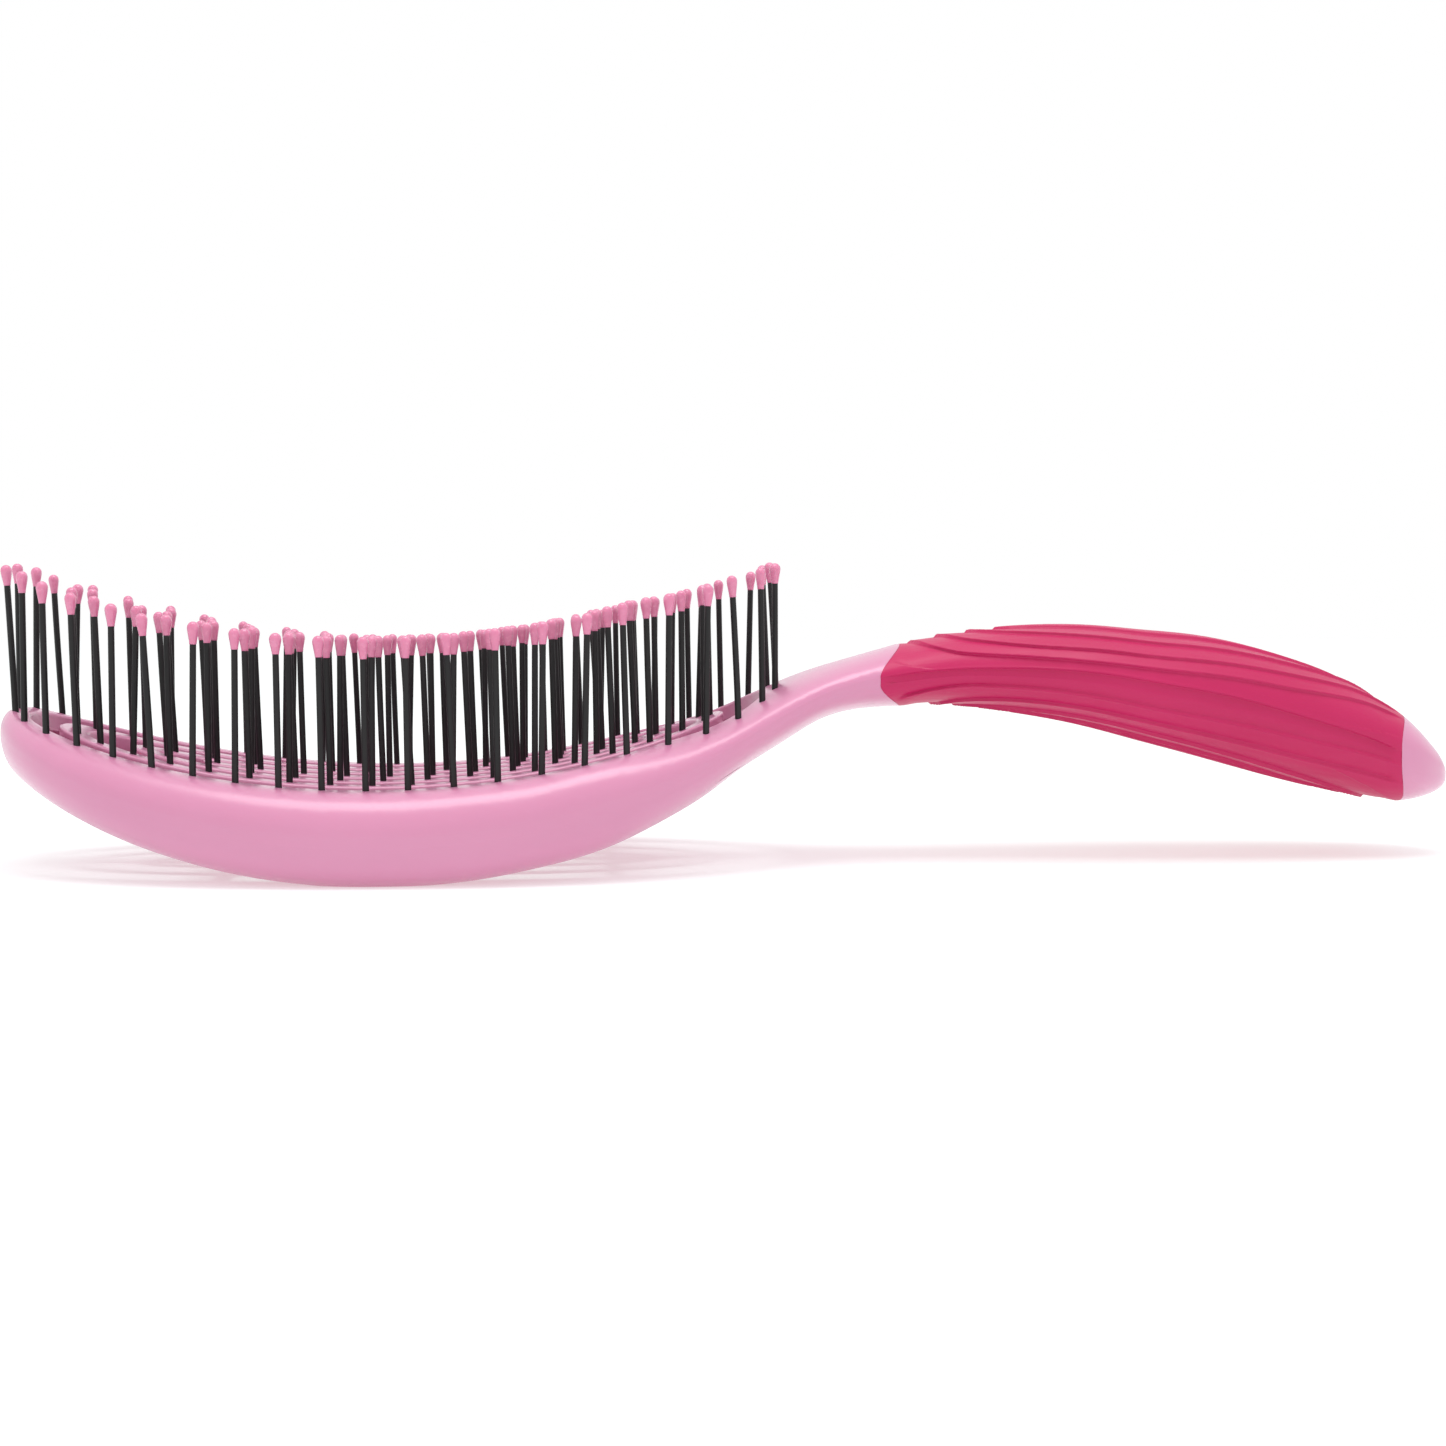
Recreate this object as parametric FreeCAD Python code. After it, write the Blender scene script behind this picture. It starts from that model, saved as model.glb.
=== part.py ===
"""Curved vent hairbrush: hollow slotted head, seven rows of ball-tipped pins, ribbed soft grip.

The brush lies on the back of its head. X runs from the free end of the head to the butt of the
handle, Z is up and Y is across. The origin is below the middle of the brush, on the surface that
it lies on. Lengths are in millimetres; positions along the brush are first counted from its free
end, and every piece is moved by half the length when it is written.
"""
import FreeCAD, Part
import math
import os

Vector = FreeCAD.Vector

# Overall sizes
LENGTH = 240.0
HEAD_HALF_WIDTH = 38.0
HEAD_WIDEST_X = 66.0
HEAD_ROUNDNESS = 2.1
NOSE_RADIUS = 3.2

# Face of the head, an arc seen from the side and straight across
FACE_RADIUS = 152.0
FACE_LOW_X = 60.5
FACE_LOW_Z = 13.9

# Back of the head, another arc, with a small flat that the brush lies on
BACK_RADIUS = 115.5
BACK_LOW_X = 62.0
BACK_FLAT_DEPTH = 0.35
BACK_END_X = 92.0

# Places along the brush: end of the face's arc, ends of the grip
HEAD_END_X = 119.0
GRIP_FRONT_X = 146.0
GRIP_FRONT_NOSE = 16.0
GRIP_REAR_X = 231.6
GRIP_REAR_NOSE = 23.0
GRIP_THICKNESS = 2.2

# Half width, underside and top of the neck and handle, by distance from the free end
NECK_HALF_WIDTH = [
    (66, 38.0), (80, 37.5), (90, 36.0), (100, 33.0), (110, 27.9), (120, 21.0), (129, 14.8), (138, 11.8),
    (147, 11.3), (160, 12.8), (175, 14.4), (192, 15.2), (208, 14.8), (222, 13.4), (240, 9.6),
]
NECK_UNDERSIDE = [
    (88, 2.61), (96, 4.77), (104, 7.8), (112, 11.45), (119, 15.9), (126, 19.7), (133, 23.5), (140, 25.0),
    (150, 25.4), (160, 24.8), (170, 23.3), (185, 19.9), (200, 15.7), (215, 11.8), (228, 9.0), (240, 8.2),
]
NECK_TOP = [
    (110, 22.05), (119, 25.75), (127, 29.6), (134, 32.2), (140, 33.9), (150, 36.7), (160, 38.3),
    (170, 38.9), (180, 38.7), (190, 37.9), (200, 36.4), (210, 34.0), (220, 30.4), (230, 25.0), (240, 18.0),
]

# Rounding of the body's long edges: a width at the head, and shares of the section at the handle
SHOULDER_WIDTH = 6.0
SHOULDER_END_X = 100.0
NECK_START_X = 132.0
EDGE_SHARE = 0.88
CIRCLE_PULL = 0.5523
BUTT_LENGTH = 13.0
BUTT_ROUNDNESS = 2.3

# Hollow of the head: its outline in plan, like that of a pin loop, and the plates above and below it
FACE_THICKNESS = 2.6
HOLLOW_LOOP = (4.4, 66.0, 124.5, 33.0)
COVER_THICKNESS = 2.0

# Pin rows: left end, widest place, right end and half width of each loop that carries pins
ROW_LOOPS = {
    "outer": (2.3, 68.0, 125.4, 29.5),
    "middle": (11.0, 70.0, 114.4, 19.3),
    "inner": (22.2, 71.0, 105.4, 9.8),
}
LOOP_PULL = 0.664
CENTRE_ROW = (33.6, 96.5)
BAR_WIDTH = 4.4
EDGE_RADIUS = 0.5
ON_OUTLINE = 0.01
RIB_WIDTH = 3.6
RIB_THICKNESS = 2.0
RIB_LAP = 3.2
CROSS_RIB_STATIONS = (38.0, 68.0, 98.0)
RETAINER_WIDTH = 3.2
RETAINER_THICKNESS = 1.0

# Room around the brush that cutting blocks reach into
LOW = -10.0
HIGH = 70.0
BESIDE = 60.0
ARC_REACH = (-12.0, 136.0)

# Peg of the butt cap
SPIGOT_START_X = 212.0
SPIGOT_RADIUS = 3.5

# Sections of the lofted forms, closer together where the shape turns
BODY_STATIONS = [
    0.06, 0.4, 1.0, 2.0, 3.2, 5, 8, 12, 18, 26, 36, 46, 54, 62, 70, 78, 88, 98, 106, 113, 119, 125,
    131, 137, 143, 150, 158, 168, 180, 193, 206, 217, 227, 231, 234, 236.5, 238.3, 239.4, 239.94,
]
CORE_STATIONS = [131, 137, 143, 150, 158, 168, 180, 193, 206, 217, 226, 230, 233]

# Pins and their ball tips. A loop is walked in small steps to space its pins along it.
WALK_STEPS = 400
PIN_RADIUS = 0.5
PIN_PITCH = 6.65
PIN_SPACING_SLACK = 0.01
PIN_STATIONS = {
    ("outer", "left"): 66.5,
    ("outer", "right"): 66.5,
    ("middle", "left"): 66.4,
    ("middle", "right"): 69.8,
    ("inner", "left"): 68.3,
    ("inner", "right"): 70.2,
}
PIN_LENGTH = 23.3
PIN_LENGTH_AT_NECK = 20.8
PIN_SHORTENING_X = 102.0
PIN_SEAT_DEPTH = 0.4
TIP_RADIUS = 0.87
TIP_LENGTH = 3.3
TIP_LEAN = 0.12


def spline_slopes(table):
    """Second derivatives of a natural cubic spline through the points of a table."""
    n = len(table)
    upper = [0.0] * n
    right = [0.0] * n
    for i in range(1, n - 1):
        before = table[i][0] - table[i - 1][0]
        after = table[i + 1][0] - table[i][0]
        rise = (table[i + 1][1] - table[i][1]) / after - (table[i][1] - table[i - 1][1]) / before
        pivot = 2 * (before + after) - before * upper[i - 1]
        upper[i] = after / pivot
        right[i] = (6 * rise - before * right[i - 1]) / pivot
    bends = [0.0] * n
    for i in range(n - 2, 0, -1):
        bends[i] = right[i] - upper[i] * bends[i + 1]
    return bends


def smooth(table, x):
    """Value at x of the natural cubic spline through a table of (x, value) points."""
    bends = spline_slopes(table)
    i = 0
    while i < len(table) - 2 and x > table[i + 1][0]:
        i += 1
    x0, y0 = table[i]
    x1, y1 = table[i + 1]
    gap = x1 - x0
    a = (x1 - x) / gap
    b = (x - x0) / gap
    bend = ((a ** 3 - a) * bends[i] + (b ** 3 - b) * bends[i + 1]) * gap * gap / 6
    return a * y0 + b * y1 + bend


def face_height(x):
    return FACE_LOW_Z + FACE_RADIUS - math.sqrt(FACE_RADIUS ** 2 - (x - FACE_LOW_X) ** 2)


def back_height(x):
    return BACK_RADIUS - BACK_FLAT_DEPTH - math.sqrt(BACK_RADIUS ** 2 - (x - BACK_LOW_X) ** 2)


def oval_share(distance, span, roundness=HEAD_ROUNDNESS):
    """Height of a superellipse, from 0 to 1, at a distance from its middle."""
    ratio = min(abs(distance) / span, 1.0)
    return (1 - ratio ** roundness) ** (1 / roundness)


def half_width(x):
    if x < HEAD_WIDEST_X:
        return HEAD_HALF_WIDTH * oval_share(HEAD_WIDEST_X - x, HEAD_WIDEST_X)
    return smooth(NECK_HALF_WIDTH, x)


def underside(x):
    return back_height(x) if x < BACK_END_X else smooth(NECK_UNDERSIDE, x)


def top(x):
    return face_height(x) if x < HEAD_END_X else smooth(NECK_TOP, x)


def end_share(x):
    """How far the body has closed, from 1 along its length to 0 at its two ends."""
    if x < NOSE_RADIUS:
        return oval_share(NOSE_RADIUS - x, NOSE_RADIUS, 2.0)
    if x > LENGTH - BUTT_LENGTH:
        return oval_share(x - LENGTH + BUTT_LENGTH, BUTT_LENGTH, BUTT_ROUNDNESS)
    return 1.0


def section_wire(x, inset=0.0):
    """Closed outline across the body at x: flat top, sides and underside joined by round corners."""
    closing = end_share(x)
    wide = half_width(x) - inset
    if x > HEAD_WIDEST_X:
        wide *= closing
    middle = (top(x) + underside(x)) / 2
    high = ((top(x) - underside(x)) / 2 - inset) * closing
    neck_share = min(max((x - SHOULDER_END_X) / (NECK_START_X - SHOULDER_END_X), 0.0), 1.0)
    corner_y = min(SHOULDER_WIDTH + (EDGE_SHARE * wide - SHOULDER_WIDTH) * neck_share, EDGE_SHARE * wide)
    corner_z = EDGE_SHARE * high
    flat_y = wide - corner_y
    flat_z = high - corner_z
    edges = []
    corners = []
    for side_y, side_z in ((1, 1), (1, -1), (-1, -1), (-1, 1)):
        on_flat = Vector(x, side_y * flat_y, middle + side_z * high)
        on_side = Vector(x, side_y * wide, middle + side_z * flat_z)
        flat_pole = Vector(x, side_y * (flat_y + CIRCLE_PULL * corner_y), middle + side_z * high)
        side_pole = Vector(x, side_y * wide, middle + side_z * (flat_z + CIRCLE_PULL * corner_z))
        poles = [on_flat, flat_pole, side_pole, on_side]
        corners.append(poles if side_y * side_z > 0 else poles[::-1])
    for i, poles in enumerate(corners):
        curve = Part.BezierCurve()
        curve.setPoles(poles)
        edges.append(curve.toShape())
        edges.append(Part.makeLine(poles[-1], corners[(i + 1) % 4][0]))
    return Part.Wire(edges)


def body_form(stations, inset=0.0):
    return Part.makeLoft([section_wire(x, inset) for x in stations], True, False)


def block(x0, x1, y0, y1, z0, z1):
    return Part.makeBox(x1 - x0, y1 - y0, z1 - z0, Vector(x0, y0, z0))


def quarter_poles(apex_x, widest_x, half):
    """Poles of a smooth quarter loop in plan, from its end on the middle line to its widest point."""
    reach = apex_x - widest_x
    return [Vector(apex_x, 0, 0), Vector(apex_x, LOOP_PULL * half, 0),
            Vector(widest_x + LOOP_PULL * reach, half, 0), Vector(widest_x, half, 0)]


def quarter_curve(apex_x, widest_x, half):
    curve = Part.BezierCurve()
    curve.setPoles(quarter_poles(apex_x, widest_x, half))
    return curve


def flat_loop(left, widest, right, half, grow=0.0):
    """Closed outline of a pin loop in plan, grown sideways, at z = 0."""
    quarters = [quarter_curve(apex, widest, side).toShape()
                for apex in (left - grow, right + grow) for side in (half + grow, -half - grow)]
    return Part.Wire(Part.sortEdges(quarters)[0])


def column(wire):
    """Upright prism over a flat closed wire."""
    face = Part.Face(wire)
    face.translate(Vector(0, 0, LOW))
    return face.extrude(Vector(0, 0, HIGH - LOW))


def arc_point(radius, centre_x, centre_z, x):
    return Vector(x, 0, centre_z - math.sqrt(radius ** 2 - (x - centre_x) ** 2))


def above_arc(radius, centre_x, centre_z):
    """Everything over an arc seen from the side, as a solid that runs across the brush."""
    x0, x1 = ARC_REACH
    ends = [arc_point(radius, centre_x, centre_z, x) for x in (x0, (x0 + x1) / 2, x1)]
    high = [Vector(x1, 0, HIGH), Vector(x0, 0, HIGH)]
    edges = [Part.Arc(*ends).toShape(), Part.makeLine(ends[2], high[0]), Part.makeLine(*high),
             Part.makeLine(high[1], ends[0])]
    face = Part.Face(Part.Wire(edges))
    face.translate(Vector(0, -BESIDE, 0))
    return face.extrude(Vector(0, 2 * BESIDE, 0))


def above_face(depth):
    return above_arc(FACE_RADIUS + depth, FACE_LOW_X, FACE_LOW_Z + FACE_RADIUS)


def face_layer(upper, lower):
    """Layer below the face of the head, between two depths."""
    return above_face(lower).cut(above_face(upper))


def loop_prism(name, grow):
    return column(flat_loop(*ROW_LOOPS[name], grow))


def loop_band(name, width):
    """Upright prism over the band that follows a pin loop."""
    return loop_prism(name, width / 2).cut(loop_prism(name, -width / 2))


def centre_band(width):
    """Upright prism over the straight band under the centre row, with round ends."""
    half = width / 2
    bar = block(*CENTRE_ROW, -half, half, LOW, HIGH)
    ends = [Part.makeCylinder(half, HIGH - LOW, Vector(x, 0, LOW)) for x in CENTRE_ROW]
    return bar.multiFuse(ends).removeSplitter()


def edges_along(shape, outline):
    """Edges of a shape that lie over a flat outline in plan, at the face of the head."""
    found = []
    for edge in shape.Edges:
        span = edge.LastParameter - edge.FirstParameter
        points = [edge.valueAt(edge.FirstParameter + span * share) for share in (0.1, 0.35, 0.6, 0.9)]
        level = all(point.z > face_height(min(point.x, HEAD_END_X)) - EDGE_RADIUS for point in points)
        shadows = [Part.Vertex(point.x, point.y, 0) for point in points]
        if level and max(outline.distToShape(shadow)[0] for shadow in shadows) < ON_OUTLINE:
            if points[0].distanceToPoint(points[-1]) > EDGE_RADIUS:
                found.append(edge)
    return found


def rib_blocks():
    """Upright blocks over the cross ribs and the rib along the middle."""
    half = RIB_WIDTH / 2
    blocks = [block(x - half, x + half, -BESIDE, BESIDE, LOW, HIGH) for x in CROSS_RIB_STATIONS]
    blocks.append(block(0, ARC_REACH[1], -half, half, LOW, HIGH))
    return blocks[0].multiFuse(blocks[1:])


def half_loop_pins(name, side):
    """Places of the pins of one side of a loop, evenly spread each way from a station to its ends."""
    left, widest, right, half = ROW_LOOPS[name]
    sign = -1 if side == "left" else 1
    ahead = quarter_curve(left, widest, sign * half)
    behind = quarter_curve(right, widest, sign * half)
    path = [ahead.value(i / WALK_STEPS) for i in range(WALK_STEPS)]
    path += [behind.value(1 - i / WALK_STEPS) for i in range(WALK_STEPS + 1)]
    walked = [0.0]
    for before, after in zip(path, path[1:]):
        walked.append(walked[-1] + before.distanceToPoint(after))
    station = next(length for length, point in zip(walked, path) if point.x >= PIN_STATIONS[name, side])
    before = round(station / PIN_PITCH)
    after = round((walked[-1] - station) / PIN_PITCH)
    marks = [station * i / before for i in range(before)]
    marks += [station + (walked[-1] - station) * i / after for i in range(after + 1)]
    points = [next(point for length, point in zip(walked, path) if length >= mark - PIN_SPACING_SLACK)
              for mark in marks]
    places = [(point.x, point.y) for point in points]
    return places if side == "left" else places[1:-1]


def centre_pins():
    x0, x1 = CENTRE_ROW
    count = round((x1 - x0) / PIN_PITCH)
    return [(x0 + (x1 - x0) * i / count, 0.0) for i in range(count + 1)]


def pin_rows():
    rows = {f"{name}_{side}": half_loop_pins(name, side) for name, side in PIN_STATIONS}
    rows["centre"] = centre_pins()
    return rows


def pin_length(x):
    end = ROW_LOOPS["outer"][2]
    share = min(max((x - PIN_SHORTENING_X) / (end - PIN_SHORTENING_X), 0.0), 1.0)
    return PIN_LENGTH + (PIN_LENGTH_AT_NECK - PIN_LENGTH) * share


def pin(x, y):
    """Upright pin that goes through its bar and stands in a shallow seat in the strip under it."""
    root = face_height(x) - FACE_THICKNESS - PIN_SEAT_DEPTH
    end = face_height(x) + pin_length(x) - TIP_RADIUS / 2
    return Part.makeCylinder(PIN_RADIUS, end - root, Vector(x, y, root))


def tip(x, y):
    """Teardrop coat on the end of a pin, thickest near the top, with the pin's end inside it."""
    high = face_height(x) + pin_length(x)
    widest = high - TIP_RADIUS
    low = high - TIP_LENGTH
    pin_end = high - TIP_RADIUS / 2
    skirt = Part.BezierCurve()
    pull = (widest - low) / 3
    skirt.setPoles([Vector(PIN_RADIUS, 0, low), Vector(PIN_RADIUS + TIP_LEAN, 0, low + pull),
                    Vector(TIP_RADIUS, 0, widest - pull), Vector(TIP_RADIUS, 0, widest)])
    half_way = TIP_RADIUS * math.sqrt(0.5)
    crown = Part.Arc(Vector(TIP_RADIUS, 0, widest), Vector(half_way, 0, widest + half_way),
                     Vector(0, 0, high))
    edges = [skirt.toShape(), crown.toShape(), Part.makeLine(Vector(0, 0, high), Vector(0, 0, pin_end)),
             Part.makeLine(Vector(0, 0, pin_end), Vector(PIN_RADIUS, 0, pin_end)),
             Part.makeLine(Vector(PIN_RADIUS, 0, pin_end), Vector(PIN_RADIUS, 0, low))]
    coat = Part.Face(Part.Wire(edges)).revolve(Vector(0, 0, 0), Vector(0, 0, 1), 360)
    coat.translate(Vector(x, y, 0))
    return coat


def grip_end(x, nose):
    """Everything on the head's side of a grip end, which bulges towards the butt in the middle."""
    bulge = Part.makeCylinder(nose, HIGH - LOW, Vector(x - nose, 0, LOW))
    return block(LOW, x - nose, -BESIDE, BESIDE, LOW, HIGH).fuse(bulge)


def middle_height(x):
    return (top(x) + underside(x)) / 2


def spigot_axis():
    """Start and direction of the peg that holds the butt cap in the handle."""
    start = Vector(SPIGOT_START_X, 0, middle_height(SPIGOT_START_X))
    end = Vector(GRIP_REAR_X, 0, middle_height(GRIP_REAR_X))
    return start, end - start


def build():
    """All the pieces of the brush, by name."""
    body = body_form(BODY_STATIONS).common(block(LOW, LENGTH - LOW, -BESIDE, BESIDE, 0, HIGH))
    core = body_form(CORE_STATIONS, GRIP_THICKNESS)
    ahead_of_grip = grip_end(GRIP_FRONT_X, GRIP_FRONT_NOSE)
    ahead_of_cap = grip_end(GRIP_REAR_X, GRIP_REAR_NOSE)
    start, along = spigot_axis()
    spigot = Part.makeCylinder(SPIGOT_RADIUS, along.Length + 1, start, along)
    rows = pin_rows()
    pins = {name: [pin(x, y) for x, y in places] for name, places in rows.items()}
    loop_pins = {name: pins[f"{name}_left"] + pins[f"{name}_right"] for name in ROW_LOOPS}
    loop_pins["centre"] = pins["centre"]

    hollow = column(flat_loop(*HOLLOW_LOOP)).cut(above_face(FACE_THICKNESS))
    opening = loop_prism("outer", -BAR_WIDTH / 2)
    core_part = core.common(ahead_of_cap).cut(spigot)
    rim = body.common(ahead_of_grip).cut(hollow).cut(opening)
    rim = rim.makeFillet(EDGE_RADIUS, edges_along(rim, flat_loop(*ROW_LOOPS["outer"], -BAR_WIDTH / 2)))
    frame = rim.fuse(core_part).cut(loop_pins["outer"])

    bars = [loop_band("middle", BAR_WIDTH), loop_band("inner", BAR_WIDTH), centre_band(BAR_WIDTH)]
    ribs = rib_blocks()
    rib_reach = loop_prism("outer", RIB_LAP - BAR_WIDTH / 2)
    rib_layer = face_layer(FACE_THICKNESS, FACE_THICKNESS + RIB_THICKNESS).common(ribs).common(rib_reach)
    grille = face_layer(0, FACE_THICKNESS).common(bars[0].multiFuse(bars[1:])).fuse(rib_layer)
    grille = grille.cut(loop_pins["middle"] + loop_pins["inner"] + loop_pins["centre"])

    above_cover = above_arc(BACK_RADIUS - COVER_THICKNESS, BACK_LOW_X, BACK_RADIUS - BACK_FLAT_DEPTH)
    cover_slots = opening.cut(bars).cut(ribs)
    cover = body.common(column(flat_loop(*HOLLOW_LOOP))).cut(above_cover).cut(cover_slots)

    retainer_layer = face_layer(FACE_THICKNESS, FACE_THICKNESS + RETAINER_THICKNESS)
    space = column(flat_loop(*HOLLOW_LOOP))

    nodes = {"head_frame": frame, "vent_grille": grille, "back_cover": cover}
    for name in ROW_LOOPS:
        strip = retainer_layer.common(loop_band(name, RETAINER_WIDTH)).common(space)
        nodes[f"pin_retainer_{name}"] = strip.cut(rib_layer).cut(loop_pins[name])
    for name, row in pins.items():
        nodes[f"pins_{name}"] = Part.makeCompound(row)
        nodes[f"pin_tips_{name}"] = Part.makeCompound([tip(x, y) for x, y in rows[name]])
    nodes["grip_sleeve"] = body.common(ahead_of_cap).cut(ahead_of_grip).cut(core)
    nodes["butt_cap"] = body.cut(ahead_of_cap).fuse(spigot.common(ahead_of_cap))
    return nodes


if __name__ == "__main__":
    os.makedirs("parts", exist_ok=True)
    for node, shape in build().items():
        shape.translate(Vector(-LENGTH / 2, 0, 0))
        shape.exportStep(f"parts/{node}.step")
        print(f"{node}: {len(shape.Solids)} solids, {shape.Volume:.0f} mm3, valid {shape.isValid()}")
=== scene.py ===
"""Looks of the curved vent hairbrush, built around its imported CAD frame.

The frame's X runs from the free end of the head to the butt of the handle, Y across and Z up.
Lengths are in metres; MM turns millimetres into them.
"""

import math
import random

import bmesh
import bpy
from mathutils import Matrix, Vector
from mathutils.bvhtree import BVHTree
from mathutils.kdtree import KDTree


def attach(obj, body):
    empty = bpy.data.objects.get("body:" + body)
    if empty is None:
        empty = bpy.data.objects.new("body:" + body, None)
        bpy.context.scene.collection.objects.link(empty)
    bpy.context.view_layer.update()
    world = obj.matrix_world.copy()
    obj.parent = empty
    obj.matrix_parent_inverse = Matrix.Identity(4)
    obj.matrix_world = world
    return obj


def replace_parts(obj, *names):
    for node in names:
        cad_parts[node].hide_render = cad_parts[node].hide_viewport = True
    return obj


MM = 0.001

# Face of the head: an arc seen from the side, straight across
FACE_RADIUS = 152 * MM
FACE_LOW_X = -59.5 * MM
FACE_LOW_Z = 13.9 * MM

# Loops of bars that carry the pins: front end, widest place, rear end and half width
LOOP_MIDDLE = (-109.0 * MM, -50.0 * MM, -5.6 * MM, 19.3 * MM)
LOOP_INNER = (-97.8 * MM, -49.0 * MM, -14.6 * MM, 9.8 * MM)
LOOP_RIM = (-117.7 * MM, -52.0 * MM, 5.4 * MM, 29.5 * MM)
LOOP_PULL = 0.664
CENTRE_BAR = (-86.4 * MM, -23.5 * MM)
BAR_WIDTH = 4.4 * MM
BAR_DEPTH = 2.6 * MM
RIB_WIDTH = 3.6 * MM
RIB_DEPTH = 2.0 * MM
RIB_LAP = 1.0 * MM
BAR_STEPS = 60
BAR_TIP_SHARE = 0.02
CROSS_RIBS = (-82.0 * MM, -52.0 * MM, -22.0 * MM)

# Ends of the grip: where they cross the middle line, and the radius of their arc in plan
GRIP_FRONT = (26.0 * MM, 16.0 * MM)
GRIP_REAR = (111.6 * MM, 23.0 * MM)

# Grip: wall thickness, mean radius, stations at which the CAD form is measured, and the mesh's grid
GRIP_EDGE_DEPTH = 1.1 * MM
GRIP_ROUND = 11.7 * MM
GRIP_STATIONS = 120
STATION_MARGIN = 0.1 * MM
GRIP_ROWS = 230
GRIP_COLUMNS = 380
GRIP_INNER_ROWS = 24
EDGE_ROUND = 0.05 * MM
EDGE_STEPS = [0.0, 0.02 * MM, 0.05 * MM]

# Rays that measure the CAD form start this far out, or this many times its half size from its middle
RAY_START = 100 * MM
RAY_REACH = 2.5

# Shingled leaves of the grip, nested round its top and round its bottom, each overlapping the one outside it
# by a step. A leaf's edge is given by its angle from the side, in degrees, at shares of the grip's length.
UPPER_LEAVES = [
    ((-0.2, 5), (0.05, 7), (0.14, 4), (0.5, 5), (0.8, 4), (1.2, 2)),
    ((0.022, 90), (0.045, 64), (0.087, 44), (0.156, 28), (0.28, 20), (0.42, 17), (0.58, 19), (0.72, 23),
     (0.82, 28), (1.02, 51), (1.2, 80)),
    ((0.074, 90), (0.1, 66), (0.16, 48), (0.29, 34), (0.44, 31), (0.6, 33), (0.75, 39), (0.85, 47), (1.0, 66),
     (1.1, 90)),
    ((0.135, 90), (0.16, 74), (0.22, 61), (0.35, 51), (0.5, 49), (0.66, 52), (0.8, 60), (0.92, 74),
     (0.99, 90)),
    ((0.19, 90), (0.22, 81), (0.3, 73), (0.45, 68), (0.6, 68), (0.75, 74), (0.86, 82), (0.92, 90)),
]
LOWER_LEAVES = [
    ((-0.01, 90), (0.006, 58), (0.03, 40), (0.13, 27), (0.25, 24), (0.55, 24), (0.8, 19), (1.02, 13),
     (1.2, 9)),
    ((0.064, 90), (0.09, 66), (0.14, 53), (0.25, 44), (0.5, 41), (0.75, 38), (1.02, 34), (1.2, 31)),
    ((0.11, 90), (0.135, 76), (0.2, 65), (0.35, 58), (0.6, 57), (0.8, 62), (0.9, 76), (0.935, 90)),
    ((0.16, 90), (0.19, 81), (0.27, 74), (0.45, 70), (0.65, 70), (0.8, 78), (0.87, 84), (0.89, 90)),
    ((0.22, 90), (0.26, 86), (0.4, 81), (0.6, 80), (0.75, 85), (0.835, 90)),
]
LEAF_VALLEY = -8  # degrees at which the lower leaves take over from the upper ones
LEAF_FADE = 6 * MM
LEAF_HOLLOW = 0.6
STEP_DEPTH = 0.62 * MM
STEP_WIDTH = 0.5 * MM
END_FADE = 3 * MM  # stretch at each end of the grip over which the steps grow from their least share
END_DEPTH_SHARE = 0.12

# Pins: shares of the radius from the root up, how far below the face they start to lean, and their lean
PIN_RADIUS = 0.5 * MM
PIN_SIDES = 14
PIN_TAPER = (1.04, 1.04, 1.02, 1.01, 1.0, 0.99, 0.98, 0.97)
PIN_STRAIGHT = 0.4 * MM
LEAN = math.radians(-1.2)
LEAN_SPREAD = math.radians(1.3)
LEAN_SPREAD_ACROSS = LEAN_SPREAD * 0.7
LEAN_MOST = math.radians(3.2)
MOST_BOW = 0.3

# Tips: teardrops whose length and width vary between two shares, a little sunk to stay within the CAD box
TIP_RADIUS = 0.9 * MM
TIP_SIDES = 20
TIP_CROWN_TURNS = (14, 32, 50, 70, 90)
TIP_CROWN_SHARE = 1.05
TIP_HEM_SHARE = 1.08
TIP_TUCK_SHARE = 0.9
TIP_TUCK = 0.05 * MM
TIP_SINK = 0.06 * MM
TIP_LENGTHS = (0.94, 1.06)
TIP_WIDTHS = (0.93, 1.03)

# Colours, linear: each surface varies gently between two
SHELL_PINKS = (0.63, 0.229, 0.39), (0.66, 0.247, 0.414)
GRIP_RASPBERRIES = (0.49, 0.005, 0.088), (0.54, 0.009, 0.106)
NYLON_BLACKS = (0.006, 0.0053, 0.0058), (0.012, 0.0108, 0.0116)
RESIN_PINKS = (0.68, 0.19, 0.34), (0.74, 0.24, 0.40)
STRIP_PINKS = (0.60, 0.22, 0.38), (0.64, 0.24, 0.41)
# Floor base tinted cool: the lit floor clips to white, while in shadow the tint cancels the pink bounce off
# the brush, a painted shade correction
FLOOR_SHADE_CYANS = (0.51, 0.61, 0.60), (0.53, 0.63, 0.62)
# Floor glow: a painted fill light from a floor that is no lamp, lightening the shadows under the brush and
# its underside
FLOOR_FILL_GLOWS = (0.99, 0.84, 0.84), (1.0, 0.86, 0.86)

# Camera: place, turn from the +Y direction and downward tilt
CAMERA_PLACE = (-30.1 * MM, -339.35 * MM, 39.5 * MM)
CAMERA_TURN = math.radians(4.496)
CAMERA_TILT = math.radians(2.863)
CAMERA_LENS = 50.92
CAMERA_NEAR = 10 * MM

# Light: strengths of the even surroundings and of the floor's glow, a painted fill light; the soft box
# overhead, in metres and watts
AMBIENT = 0.95
FLOOR_FILL_GLOW = 0.5
FLOOR_HALF = 4.0
OVERHEAD_PLACE = (0.0, -0.1, 0.8)
OVERHEAD_SIZE = (0.6, 0.4)
OVERHEAD_POWER = 3.1


def face_height(x):
    return FACE_LOW_Z + FACE_RADIUS - math.sqrt(FACE_RADIUS ** 2 - (x - FACE_LOW_X) ** 2)


# ---------------------------------------------------------------- materials

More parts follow.
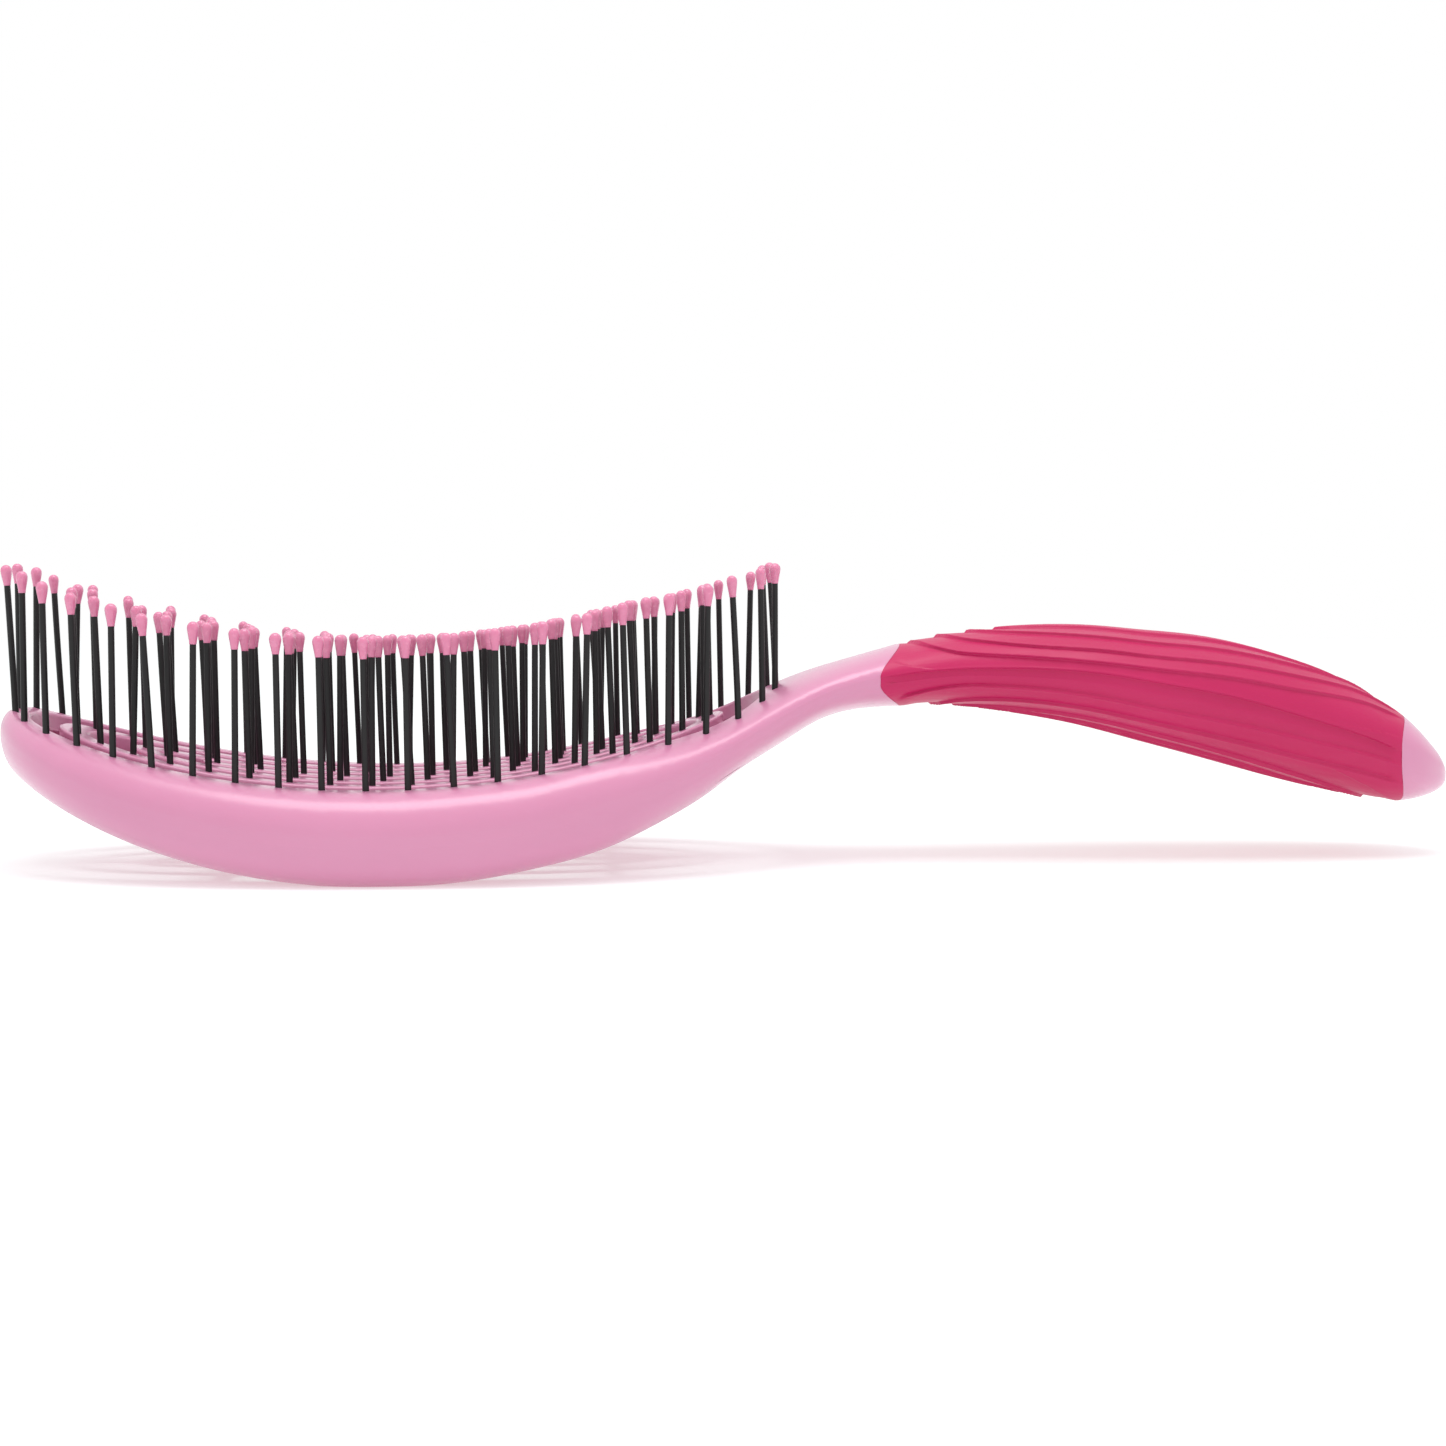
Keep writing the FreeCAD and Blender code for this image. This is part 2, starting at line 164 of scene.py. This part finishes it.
def new_material(name):
    material = bpy.data.materials.new(name)
    material.use_nodes = True
    nodes = material.node_tree.nodes
    return material, nodes, material.node_tree.links, nodes["Principled BSDF"]


def noise(nodes, links, scale, detail=3.0, stretch=(1, 1, 1)):
    """Noise in the object's own coordinates, stretched along its axes."""
    place = nodes.new("ShaderNodeTexCoord")
    mapping = nodes.new("ShaderNodeMapping")
    mapping.inputs["Scale"].default_value = stretch
    texture = nodes.new("ShaderNodeTexNoise")
    texture.inputs["Scale"].default_value = scale
    texture.inputs["Detail"].default_value = detail
    links.new(place.outputs["Object"], mapping.inputs["Vector"])
    links.new(mapping.outputs["Vector"], texture.inputs["Vector"])
    return texture.outputs["Fac"]


def ramp(nodes, links, factor, low, high, start=0.3, end=0.7):
    """Colour or grey that turns from low to high as a factor rises from start to end."""
    node = nodes.new("ShaderNodeValToRGB")
    node.color_ramp.elements[0].position = start
    node.color_ramp.elements[1].position = end
    node.color_ramp.elements[0].color = (*low, 1) if isinstance(low, tuple) else (low, low, low, 1)
    node.color_ramp.elements[1].color = (*high, 1) if isinstance(high, tuple) else (high, high, high, 1)
    links.new(factor, node.inputs["Fac"])
    return node.outputs["Color"]


def bump(nodes, links, height, depth, strength=1.0, under=None):
    node = nodes.new("ShaderNodeBump")
    node.inputs["Distance"].default_value = depth
    node.inputs["Strength"].default_value = strength
    links.new(height, node.inputs["Height"])
    if under is not None:
        links.new(under, node.inputs["Normal"])
    return node.outputs["Normal"]


def set_values(shader, values):
    for name, value in values.items():
        shader.inputs[name].default_value = value


def shell_plastic():
    """Satin moulded pink plastic with faint flow variation and a fine texture."""
    material, nodes, links, shader = new_material("shell_plastic")
    flow = noise(nodes, links, 55, 4, (0.5, 1, 1))
    links.new(ramp(nodes, links, flow, *SHELL_PINKS), shader.inputs["Base Color"])
    grain = noise(nodes, links, 2600, 2)
    links.new(ramp(nodes, links, grain, 0.33, 0.41), shader.inputs["Roughness"])
    swell = noise(nodes, links, 160, 2)
    soft = bump(nodes, links, swell, 0.02 * MM, 0.35)
    links.new(bump(nodes, links, grain, 0.006 * MM, 0.5, soft), shader.inputs["Normal"])
    set_values(shader, {"Coat Weight": 0.8, "Coat Roughness": 0.25, "Subsurface Weight": 0.12,
                        "Subsurface Radius": (1.0, 0.45, 0.6), "Subsurface Scale": 1.2 * MM})
    return material


def grip_rubber():
    """Raspberry soft rubber: dull, a little darker in places, with a fine drawn grain."""
    material, nodes, links, shader = new_material("grip_rubber")
    cloud = noise(nodes, links, 70, 5, (0.4, 1, 1))
    links.new(ramp(nodes, links, cloud, *GRIP_RASPBERRIES), shader.inputs["Base Color"])
    drawn = noise(nodes, links, 900, 3, (0.12, 1, 1))
    links.new(ramp(nodes, links, drawn, 0.4, 0.5), shader.inputs["Roughness"])
    grain = noise(nodes, links, 3200, 2)
    soft = bump(nodes, links, drawn, 0.02 * MM, 0.5)
    links.new(bump(nodes, links, grain, 0.01 * MM, 0.5, soft), shader.inputs["Normal"])
    set_values(shader, {"Specular IOR Level": 0.4, "Subsurface Weight": 0.05,
                        "Subsurface Radius": (1.0, 0.2, 0.3), "Subsurface Scale": 0.8 * MM})
    return material


def pin_nylon():
    """Black drawn nylon with faint lengthwise streaks."""
    material, nodes, links, shader = new_material("pin_nylon")
    streak = noise(nodes, links, 1800, 2, (1, 1, 0.05))
    links.new(ramp(nodes, links, streak, *NYLON_BLACKS), shader.inputs["Base Color"])
    links.new(ramp(nodes, links, streak, 0.34, 0.46), shader.inputs["Roughness"])
    links.new(bump(nodes, links, streak, 0.01 * MM, 0.5), shader.inputs["Normal"])
    set_values(shader, {"Specular IOR Level": 0.35})
    return material


def tip_resin():
    """Glossy pink resin, dipped, with slight thickness variation."""
    material, nodes, links, shader = new_material("tip_resin")
    thick = noise(nodes, links, 900, 3)
    links.new(ramp(nodes, links, thick, *RESIN_PINKS), shader.inputs["Base Color"])
    links.new(ramp(nodes, links, thick, 0.2, 0.3), shader.inputs["Roughness"])
    links.new(bump(nodes, links, thick, 0.03 * MM, 0.4), shader.inputs["Normal"])
    set_values(shader, {"Subsurface Weight": 0.2, "Subsurface Radius": (1.0, 0.4, 0.5),
                        "Subsurface Scale": 0.5 * MM, "Coat Weight": 0.5, "Coat Roughness": 0.12})
    return material


def strip_plastic():
    """Duller pink plastic of the hidden strips, with marks of the cut."""
    material, nodes, links, shader = new_material("strip_plastic")
    marks = noise(nodes, links, 500, 3, (0.3, 1, 1))
    links.new(ramp(nodes, links, marks, *STRIP_PINKS), shader.inputs["Base Color"])
    links.new(ramp(nodes, links, marks, 0.5, 0.6), shader.inputs["Roughness"])
    links.new(bump(nodes, links, marks, 0.02 * MM, 0.4), shader.inputs["Normal"])
    return material


def painted_fill_floor():
    """Cool white floor with a barely visible tooth: its tint takes the pink bounce out of its shadows
    (painted shade correction), and it glows as a painted fill light that lightens those shadows and the
    brush's underside.
    """
    material, nodes, links, shader = new_material("painted_fill_floor")
    tooth = noise(nodes, links, 300, 3)
    links.new(ramp(nodes, links, tooth, *FLOOR_SHADE_CYANS), shader.inputs["Base Color"])
    links.new(ramp(nodes, links, tooth, *FLOOR_FILL_GLOWS), shader.inputs["Emission Color"])
    links.new(bump(nodes, links, tooth, 0.01 * MM, 0.2), shader.inputs["Normal"])
    set_values(shader, {"Emission Strength": FLOOR_FILL_GLOW, "Roughness": 0.9, "Specular IOR Level": 0.1})
    return material


# ---------------------------------------------------------------- mesh helpers

def mesh_object(name, points, faces, material):
    """Smooth-shaded object on the brush's body, with its faces turned outwards."""
    mesh = bpy.data.meshes.new(name)
    mesh.from_pydata(points, [], faces)
    form = bmesh.new()
    form.from_mesh(mesh)
    bmesh.ops.recalc_face_normals(form, faces=form.faces)
    form.to_mesh(mesh)
    form.free()
    mesh.polygons.foreach_set("use_smooth", [True] * len(mesh.polygons))
    mesh.materials.append(material)
    piece = bpy.data.objects.new(name, mesh)
    bpy.context.scene.collection.objects.link(piece)
    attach(piece, "root")
    return piece


def add_rings(points, faces, rings, closed):
    """Joins rings of points in order, and caps the first and last unless the run is closed."""
    start = len(points)
    count = len(rings[0])
    for ring in rings:
        points.extend(ring)
    spans = len(rings) if closed else len(rings) - 1
    for i in range(spans):
        a = start + i * count
        b = start + (i + 1) % len(rings) * count
        for j in range(count):
            k = (j + 1) % count
            faces.append((a + j, a + k, b + k, b + j))
    if not closed:
        faces.append(tuple(range(start + count - 1, start - 1, -1)))
        last = start + (len(rings) - 1) * count
        faces.append(tuple(range(last, last + count)))


# ---------------------------------------------------------------- grille

def loop_path(loop, steps=48):
    """Points of a pin loop in plan, each with its outward direction."""
    front, widest, rear, half = loop
    quarters = []
    for apex in (front, rear):
        reach = apex - widest
        poles = [(apex, 0), (apex, LOOP_PULL * half), (widest + LOOP_PULL * reach, half), (widest, half)]
        quarter = []
        for i in range(steps + 1):
            t = i / steps
            weights = ((1 - t) ** 3, 3 * t * (1 - t) ** 2, 3 * t * t * (1 - t), t ** 3)
            quarter.append(tuple(sum(w * pole[axis] for w, pole in zip(weights, poles)) for axis in (0, 1)))
        quarters.append(quarter)
    upper = quarters[0] + quarters[1][-2::-1]
    path = upper + [(x, -y) for x, y in upper[-2:0:-1]]
    placed = []
    for i, (x, y) in enumerate(path):
        before = path[i - 1]
        after = path[(i + 1) % len(path)]
        along = Vector((after[0] - before[0], after[1] - before[1])).normalized()
        placed.append((x, y, -along.y, along.x))
    return placed


def rounded_section(width, top, depth, edge=0.55 * MM, steps=4):
    """Section of a bar as (across, depth below the face), its corners rounded."""
    section = []
    for i, (side, low) in enumerate(((1, 0), (-1, 0), (-1, 1), (1, 1))):
        across = side * (width / 2 - edge)
        down = top + depth - edge if low else top + edge
        for k in range(steps + 1):
            turn = math.radians(90 * i + 90 * k / steps)
            section.append((across + edge * math.cos(turn), down - edge * math.sin(turn)))
    return section


def loop_bar(points, faces, loop):
    section = rounded_section(BAR_WIDTH, 0, BAR_DEPTH)
    rings = []
    for x, y, out_x, out_y in loop_path(loop):
        ring = [(x + across * out_x, y + across * out_y) for across, low in section]
        rings.append([(px, py, face_height(px) - low) for (px, py), (across, low) in zip(ring, section)])
    add_rings(points, faces, rings, True)


def lengthwise_bar(points, faces, start, end, width, top, depth, round_ends):
    """Bar along the middle line, which follows the arc of the face."""
    half = width / 2
    stations = [(start + (end - start) * i / BAR_STEPS, 1.0) for i in range(BAR_STEPS + 1)]
    if round_ends:
        turns = [math.radians(90 * i / 8) for i in range(8)]
        ahead = [(start - half * math.cos(turn), math.sin(turn)) for turn in turns]
        behind = [(end + half * math.cos(turn), math.sin(turn)) for turn in reversed(turns)]
        stations = ahead + stations + behind
    rings = []
    for x, share in stations:
        section = rounded_section(width, top, depth)
        narrowed = max(share, BAR_TIP_SHARE)
        rings.append([(x, across * narrowed, face_height(x) - low) for across, low in section])
    add_rings(points, faces, rings, False)


def cross_bar(points, faces, x, half_length, width, top, depth):
    """Straight rib across the head."""
    section = rounded_section(width, top, depth)
    rings = [[(x + across, y, face_height(x + across) - low) for across, low in section]
             for y in (-half_length, -half_length / 2, 0, half_length / 2, half_length)]
    add_rings(points, faces, rings, False)


def build_grille(material):
    points, faces = [], []
    loop_bar(points, faces, LOOP_MIDDLE)
    loop_bar(points, faces, LOOP_INNER)
    lengthwise_bar(points, faces, *CENTRE_BAR, BAR_WIDTH, 0, BAR_DEPTH, True)
    inset = BAR_WIDTH / 2 - RIB_LAP
    front, rear = LOOP_RIM[0] + inset, LOOP_RIM[2] - inset
    lengthwise_bar(points, faces, front, rear, RIB_WIDTH, BAR_DEPTH, RIB_DEPTH, False)
    for x in CROSS_RIBS:
        half = max(place[1] for place in loop_path(LOOP_RIM) if abs(place[0] - x) < RIB_WIDTH)
        cross_bar(points, faces, x, half - inset, RIB_WIDTH, BAR_DEPTH, RIB_DEPTH)
    piece = mesh_object("grille_bars", points, faces, material)
    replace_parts(piece, "vent_grille")


# ---------------------------------------------------------------- pins

def upright_places(node, apart=2 * MM):
    """Middle, low end and high end of each separate upright solid of a CAD node."""
    groups = []
    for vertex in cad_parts[node].data.vertices:
        x, y, z = vertex.co
        for group in groups:
            if abs(group[0][0] - x) < apart and abs(group[0][1] - y) < apart:
                group.append((x, y, z))
                break
        else:
            groups.append([(x, y, z)])
    places = []
    for group in groups:
        xs, ys, zs = zip(*group)
        places.append(((min(xs) + max(xs)) / 2, (min(ys) + max(ys)) / 2, min(zs), max(zs)))
    return places


def ring_at(centre, direction, radius, sides):
    side = direction.orthogonal().normalized()
    other = direction.cross(side)
    turns = [2 * math.pi * j / sides for j in range(sides)]
    return [tuple(centre + radius * (math.cos(turn) * side + math.sin(turn) * other)) for turn in turns]


def pin_line(x, y, root, end, rng):
    """Points up a pin, straight in its bar and leaning above it, and the direction of its end."""
    lean_x = max(-LEAN_MOST, min(LEAN_MOST, rng.gauss(LEAN, LEAN_SPREAD)))
    lean_y = max(-LEAN_MOST, min(LEAN_MOST, rng.gauss(0, LEAN_SPREAD_ACROSS)))
    bow = rng.uniform(-MOST_BOW, MOST_BOW)
    face = face_height(x)
    free = end - face
    line = [Vector((x, y, root)), Vector((x, y, face - PIN_STRAIGHT))]
    steps = len(PIN_TAPER) - len(line)
    for i in range(1, steps + 1):
        share = i / steps
        swing = share + bow * share * (1 - share)
        line.append(Vector((x + free * swing * math.tan(lean_x), y + free * share * math.tan(lean_y),
                            face + free * share)))
    return line, (line[-1] - line[-2]).normalized()


def tip_profile(length, radius, steps=9):
    """Teardrop outline as (distance down from the top, radius)."""
    crown = radius * TIP_CROWN_SHARE
    hem = PIN_RADIUS * TIP_HEM_SHARE
    outline = [(crown * (1 - math.cos(turn)), radius * math.sin(turn))
               for turn in map(math.radians, TIP_CROWN_TURNS)]
    for i in range(1, steps + 1):
        t = i / steps
        ease = 0.5 * t + 0.5 * t * t * (3 - 2 * t)
        outline.append((crown + (length - crown) * t, radius + (hem - radius) * ease))
    outline.append((length + TIP_TUCK, PIN_RADIUS * TIP_TUCK_SHARE))
    return outline


def build_pins(row, seed, nylon, resin):
    """One row of leaning pins and their dipped tips."""
    rng = random.Random(seed)
    pin_points, pin_faces, tip_points, tip_faces = [], [], [], []
    tips = upright_places(f"pin_tips_{row}")
    for x, y, root, end in upright_places(f"pins_{row}"):
        tip_low, tip_high = min(tips, key=lambda tip: abs(tip[0] - x) + abs(tip[1] - y))[2:]
        line, direction = pin_line(x, y, root, end, rng)
        rings = [ring_at(point, direction, PIN_RADIUS * share, PIN_SIDES)
                 for point, share in zip(line, PIN_TAPER)]
        add_rings(pin_points, pin_faces, rings, False)
        length = (tip_high - tip_low) * rng.uniform(*TIP_LENGTHS)
        radius = TIP_RADIUS * rng.uniform(*TIP_WIDTHS)
        top = line[-1] + direction * (tip_high - end) - Vector((0, 0, TIP_SINK))
        rings = [ring_at(top - direction * down, direction, wide, TIP_SIDES)
                 for down, wide in tip_profile(length, radius)]
        add_rings(tip_points, tip_faces, rings, False)
    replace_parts(mesh_object(f"pin_row_{row}", pin_points, pin_faces, nylon), f"pins_{row}")
    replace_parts(mesh_object(f"tip_row_{row}", tip_points, tip_faces, resin), f"pin_tips_{row}")


# ---------------------------------------------------------------- grip

def leaf_angle(leaf, share):
    """Angle of a leaf's edge at a share of the grip's length, smooth between its points; None past them."""
    if not leaf[0][0] < share < leaf[-1][0]:
        return None
    i = next(i for i in range(1, len(leaf)) if share <= leaf[i][0]) - 1
    before, here, there, after = (leaf[min(max(i + k, 0), len(leaf) - 1)] for k in (-1, 0, 1, 2))
    gap = there[0] - here[0]
    slope_here = (there[1] - before[1]) / (there[0] - before[0]) * gap
    slope_there = (after[1] - here[1]) / (after[0] - here[0]) * gap
    t = (share - here[0]) / gap
    return ((2 * t ** 3 - 3 * t ** 2 + 1) * here[1] + (t ** 3 - 2 * t ** 2 + t) * slope_here
            + (3 * t ** 2 - 2 * t ** 3) * there[1] + (t ** 3 - t ** 2) * slope_there)


def leaf_place(share, angle, length):
    """Place on the grip, flattened to (along it, round from its middle line)."""
    return (share * length, math.radians(90 - angle) * GRIP_ROUND, 0)


def leaf_tree(leaf, length, steps=1200):
    """Places along a leaf's edge, for asking how far away it is."""
    tree = KDTree(steps)
    for i in range(steps):
        share = leaf[0][0] + (leaf[-1][0] - leaf[0][0]) * i / (steps - 1)
        angle = leaf_angle(leaf, share)
        if angle is None:
            angle = leaf[0][1] if i == 0 else leaf[-1][1]
        tree.insert(leaf_place(share, angle, length), i)
    tree.balance()
    return tree


def leaf_depth(leaves, share, angle, length):
    """Depth of the grip's surface below its outer form, among nested leaves with their trees.

    A leaf lies deepest at the foot of the leaf inside it and rises, hollow, to its own edge.
    """
    place = leaf_place(share, angle, length)
    inner_gap = LEAF_FADE
    outer_gap = LEAF_FADE
    for leaf, tree in leaves:
        edge = leaf_angle(leaf, share)
        gap = tree.find(place)[2]
        if edge is not None and angle > edge:
            inner_gap = gap
        else:
            outer_gap = min(outer_gap, gap)
    step = min(outer_gap / STEP_WIDTH, 1.0)
    rising = (inner_gap / (inner_gap + outer_gap)) ** LEAF_HOLLOW if outer_gap < LEAF_FADE else 0.0
    near_end = min(min(share, 1 - share) * length / END_FADE, 1.0)
    fade = END_DEPTH_SHARE + (1 - END_DEPTH_SHARE) * near_end * near_end * (3 - 2 * near_end)
    return STEP_DEPTH * step * step * (3 - 2 * step) * rising * fade


class GripForm:
    """Outer form of the CAD grip and its neighbours, asked by rays."""

    def __init__(self):
        points, faces = [], []
        for name in ("head_frame", "grip_sleeve", "butt_cap"):
            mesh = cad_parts[name].data
            start = len(points)
            points.extend(vertex.co.copy() for vertex in mesh.vertices)
            faces.extend([start + corner for corner in polygon.vertices] for polygon in mesh.polygons)
        self.tree = BVHTree.FromPolygons(points, faces)
        self.first = GRIP_FRONT[0] + STATION_MARGIN
        self.gap = (GRIP_REAR[0] - STATION_MARGIN - self.first) / GRIP_STATIONS
        self.sections = [self.section(self.first + self.gap * i) for i in range(GRIP_STATIONS + 1)]

    def section(self, x):
        """Middle height, half height and half width at x."""
        high = self.tree.ray_cast(Vector((x, 0, RAY_START)), Vector((0, 0, -1)))[0].z
        low = self.tree.ray_cast(Vector((x, 0, -RAY_START)), Vector((0, 0, 1)))[0].z
        middle = (high + low) / 2
        wide = self.tree.ray_cast(Vector((x, RAY_START, middle)), Vector((0, -1, 0)))[0].y
        return middle, (high - low) / 2, wide

    def sizes(self, x):
        """Middle height, half height and half width at x, in line between and beyond the stations."""
        place = (x - self.first) / self.gap
        i = int(min(max(math.floor(place), 0), len(self.sections) - 2))
        share = place - i
        return [a + (b - a) * share for a, b in zip(self.sections[i], self.sections[i + 1])]

    def surface(self, x, turn):
        """Point of the outer form at x, at a turn round the middle, and that middle."""
        middle, high, wide = self.sizes(x)
        centre = Vector((x, 0, middle))
        out = Vector((0, wide * math.cos(turn), high * math.sin(turn)))
        return self.tree.ray_cast(centre + out * RAY_REACH, -out)[0], centre

    def point(self, share, offset, turn):
        """Point of the outer form at a share of the length, and the way in from it."""
        x = GRIP_FRONT[0] + share * (GRIP_REAR[0] - GRIP_FRONT[0])
        for _ in range(3):
            y = self.surface(x, turn)[0].y
            front, rear = end_line(GRIP_FRONT, y), end_line(GRIP_REAR, y)
            x = front + share * (rear - front) + offset
        hit, centre = self.surface(x, turn)
        return hit, (centre - hit).normalized()


def end_line(end, y):
    """X of a grip end at a distance y from the middle line."""
    place, bulge = end
    return place - bulge + math.sqrt(max(bulge ** 2 - y ** 2, 0))


def sunk_point(hit, inward, depth, share):
    """Point below the outer form, at the same share of the way between the curved ends."""
    place = hit + inward * depth
    for end, weight in ((GRIP_FRONT, 1 - share), (GRIP_REAR, share)):
        place.x += weight * (end_line(end, place.y) - end_line(end, hit.y))
    return place


def build_grip(material):
    """Sleeve of shingled leaves: rings from front to rear on the outside, then back on the inside."""
    form = GripForm()
    length = GRIP_REAR[0] - GRIP_FRONT[0]
    upper = [(leaf, leaf_tree(leaf, length)) for leaf in UPPER_LEAVES]
    lower = [(leaf, leaf_tree(leaf, length)) for leaf in LOWER_LEAVES]
    turns = [2 * math.pi * (j + 0.5) / GRIP_COLUMNS for j in range(GRIP_COLUMNS)]
    edge = [(d, EDGE_ROUND - math.sqrt(EDGE_ROUND ** 2 - (EDGE_ROUND - d) ** 2)) for d in EDGE_STEPS]
    stations = [(0, d, rounding) for d, rounding in edge]
    stations += [(i / GRIP_ROWS, 0, 0) for i in range(1, GRIP_ROWS)]
    stations += [(1, -d, rounding) for d, rounding in reversed(edge)]
    rings = []
    for share, offset, rounding in stations:
        inset = share or offset / length
        ring = []
        for turn in turns:
            hit, inward = form.point(share, offset, turn)
            angle = math.degrees(math.asin(math.sin(turn)))
            if angle > LEAF_VALLEY:
                depth = leaf_depth(upper, inset, angle, length)
            else:
                depth = leaf_depth(lower, inset, -angle, length)
            ring.append(sunk_point(hit, inward, depth + rounding, share))
        rings.append(ring)
    for share in [1 - i / GRIP_INNER_ROWS for i in range(GRIP_INNER_ROWS + 1)]:
        ring = []
        for turn in turns:
            hit, inward = form.point(share, 0, turn)
            ring.append(sunk_point(hit, inward, GRIP_EDGE_DEPTH, share))
        rings.append(ring)
    points, faces = [], []
    add_rings(points, faces, rings, True)
    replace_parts(mesh_object("ribbed_grip", points, faces, material), "grip_sleeve")


# ---------------------------------------------------------------- studio

def build_floor():
    corners = [(side * FLOOR_HALF, end * FLOOR_HALF, 0) for side, end in ((-1, -1), (1, -1), (1, 1), (-1, 1))]
    mesh = bpy.data.meshes.new("floor")
    mesh.from_pydata(corners, [], [(0, 1, 2, 3)])
    mesh.materials.append(painted_fill_floor())
    floor = bpy.data.objects.new("floor", mesh)
    bpy.context.scene.collection.objects.link(floor)


def build_overhead_box():
    """Soft box above the brush, turned towards the frame's origin."""
    lamp = bpy.data.lights.new("overhead_box", "AREA")
    lamp.shape = "RECTANGLE"
    lamp.size, lamp.size_y = OVERHEAD_SIZE
    lamp.energy = OVERHEAD_POWER
    box = bpy.data.objects.new("overhead_box", lamp)
    box.location = OVERHEAD_PLACE
    box.rotation_euler = (-Vector(OVERHEAD_PLACE)).to_track_quat("-Z", "Y").to_euler()
    bpy.context.scene.collection.objects.link(box)


def build_world():
    """Even white surroundings, brighter where the camera sees them than as a light."""
    world = bpy.data.worlds.new("studio")
    world.use_nodes = True
    nodes = world.node_tree.nodes
    links = world.node_tree.links
    lit = nodes["Background"]
    lit.inputs["Strength"].default_value = AMBIENT
    seen = nodes.new("ShaderNodeBackground")
    for background in (lit, seen):
        background.inputs["Color"].default_value = (1, 1, 1, 1)
    mix = nodes.new("ShaderNodeMixShader")
    path = nodes.new("ShaderNodeLightPath")
    links.new(path.outputs["Is Camera Ray"], mix.inputs["Fac"])
    links.new(lit.outputs[0], mix.inputs[1])
    links.new(seen.outputs[0], mix.inputs[2])
    links.new(mix.outputs[0], nodes["World Output"].inputs["Surface"])
    bpy.context.scene.world = world


def build_camera():
    data = bpy.data.cameras.new("camera")
    data.lens = CAMERA_LENS
    data.clip_start = CAMERA_NEAR
    camera = bpy.data.objects.new("camera", data)
    camera.location = CAMERA_PLACE
    camera.rotation_euler = (math.pi / 2 - CAMERA_TILT, 0, -CAMERA_TURN)
    bpy.context.scene.collection.objects.link(camera)
    bpy.context.scene.camera = camera


# ---------------------------------------------------------------- the brush

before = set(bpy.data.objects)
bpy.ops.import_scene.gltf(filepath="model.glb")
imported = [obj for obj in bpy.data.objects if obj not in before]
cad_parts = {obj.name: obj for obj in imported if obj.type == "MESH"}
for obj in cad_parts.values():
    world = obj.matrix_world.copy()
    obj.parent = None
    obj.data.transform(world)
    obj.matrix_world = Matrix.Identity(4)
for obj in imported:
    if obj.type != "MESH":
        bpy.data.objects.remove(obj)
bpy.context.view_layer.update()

shell = shell_plastic()
strip = strip_plastic()
for node_name, finish in (("head_frame", shell), ("back_cover", shell), ("butt_cap", shell),
                          ("pin_retainer_outer", strip), ("pin_retainer_middle", strip),
                          ("pin_retainer_inner", strip)):
    node_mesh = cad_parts[node_name].data
    node_mesh.materials.clear()
    node_mesh.materials.append(finish)

build_grille(shell)
nylon = pin_nylon()
resin = tip_resin()
for seed, row in enumerate(("outer_left", "outer_right", "middle_left", "middle_right", "inner_left",
                            "inner_right", "centre")):
    build_pins(row, seed, nylon, resin)
build_grip(grip_rubber())

build_camera()
build_floor()
build_world()
build_overhead_box()
bpy.context.scene.view_settings.view_transform = "Standard"
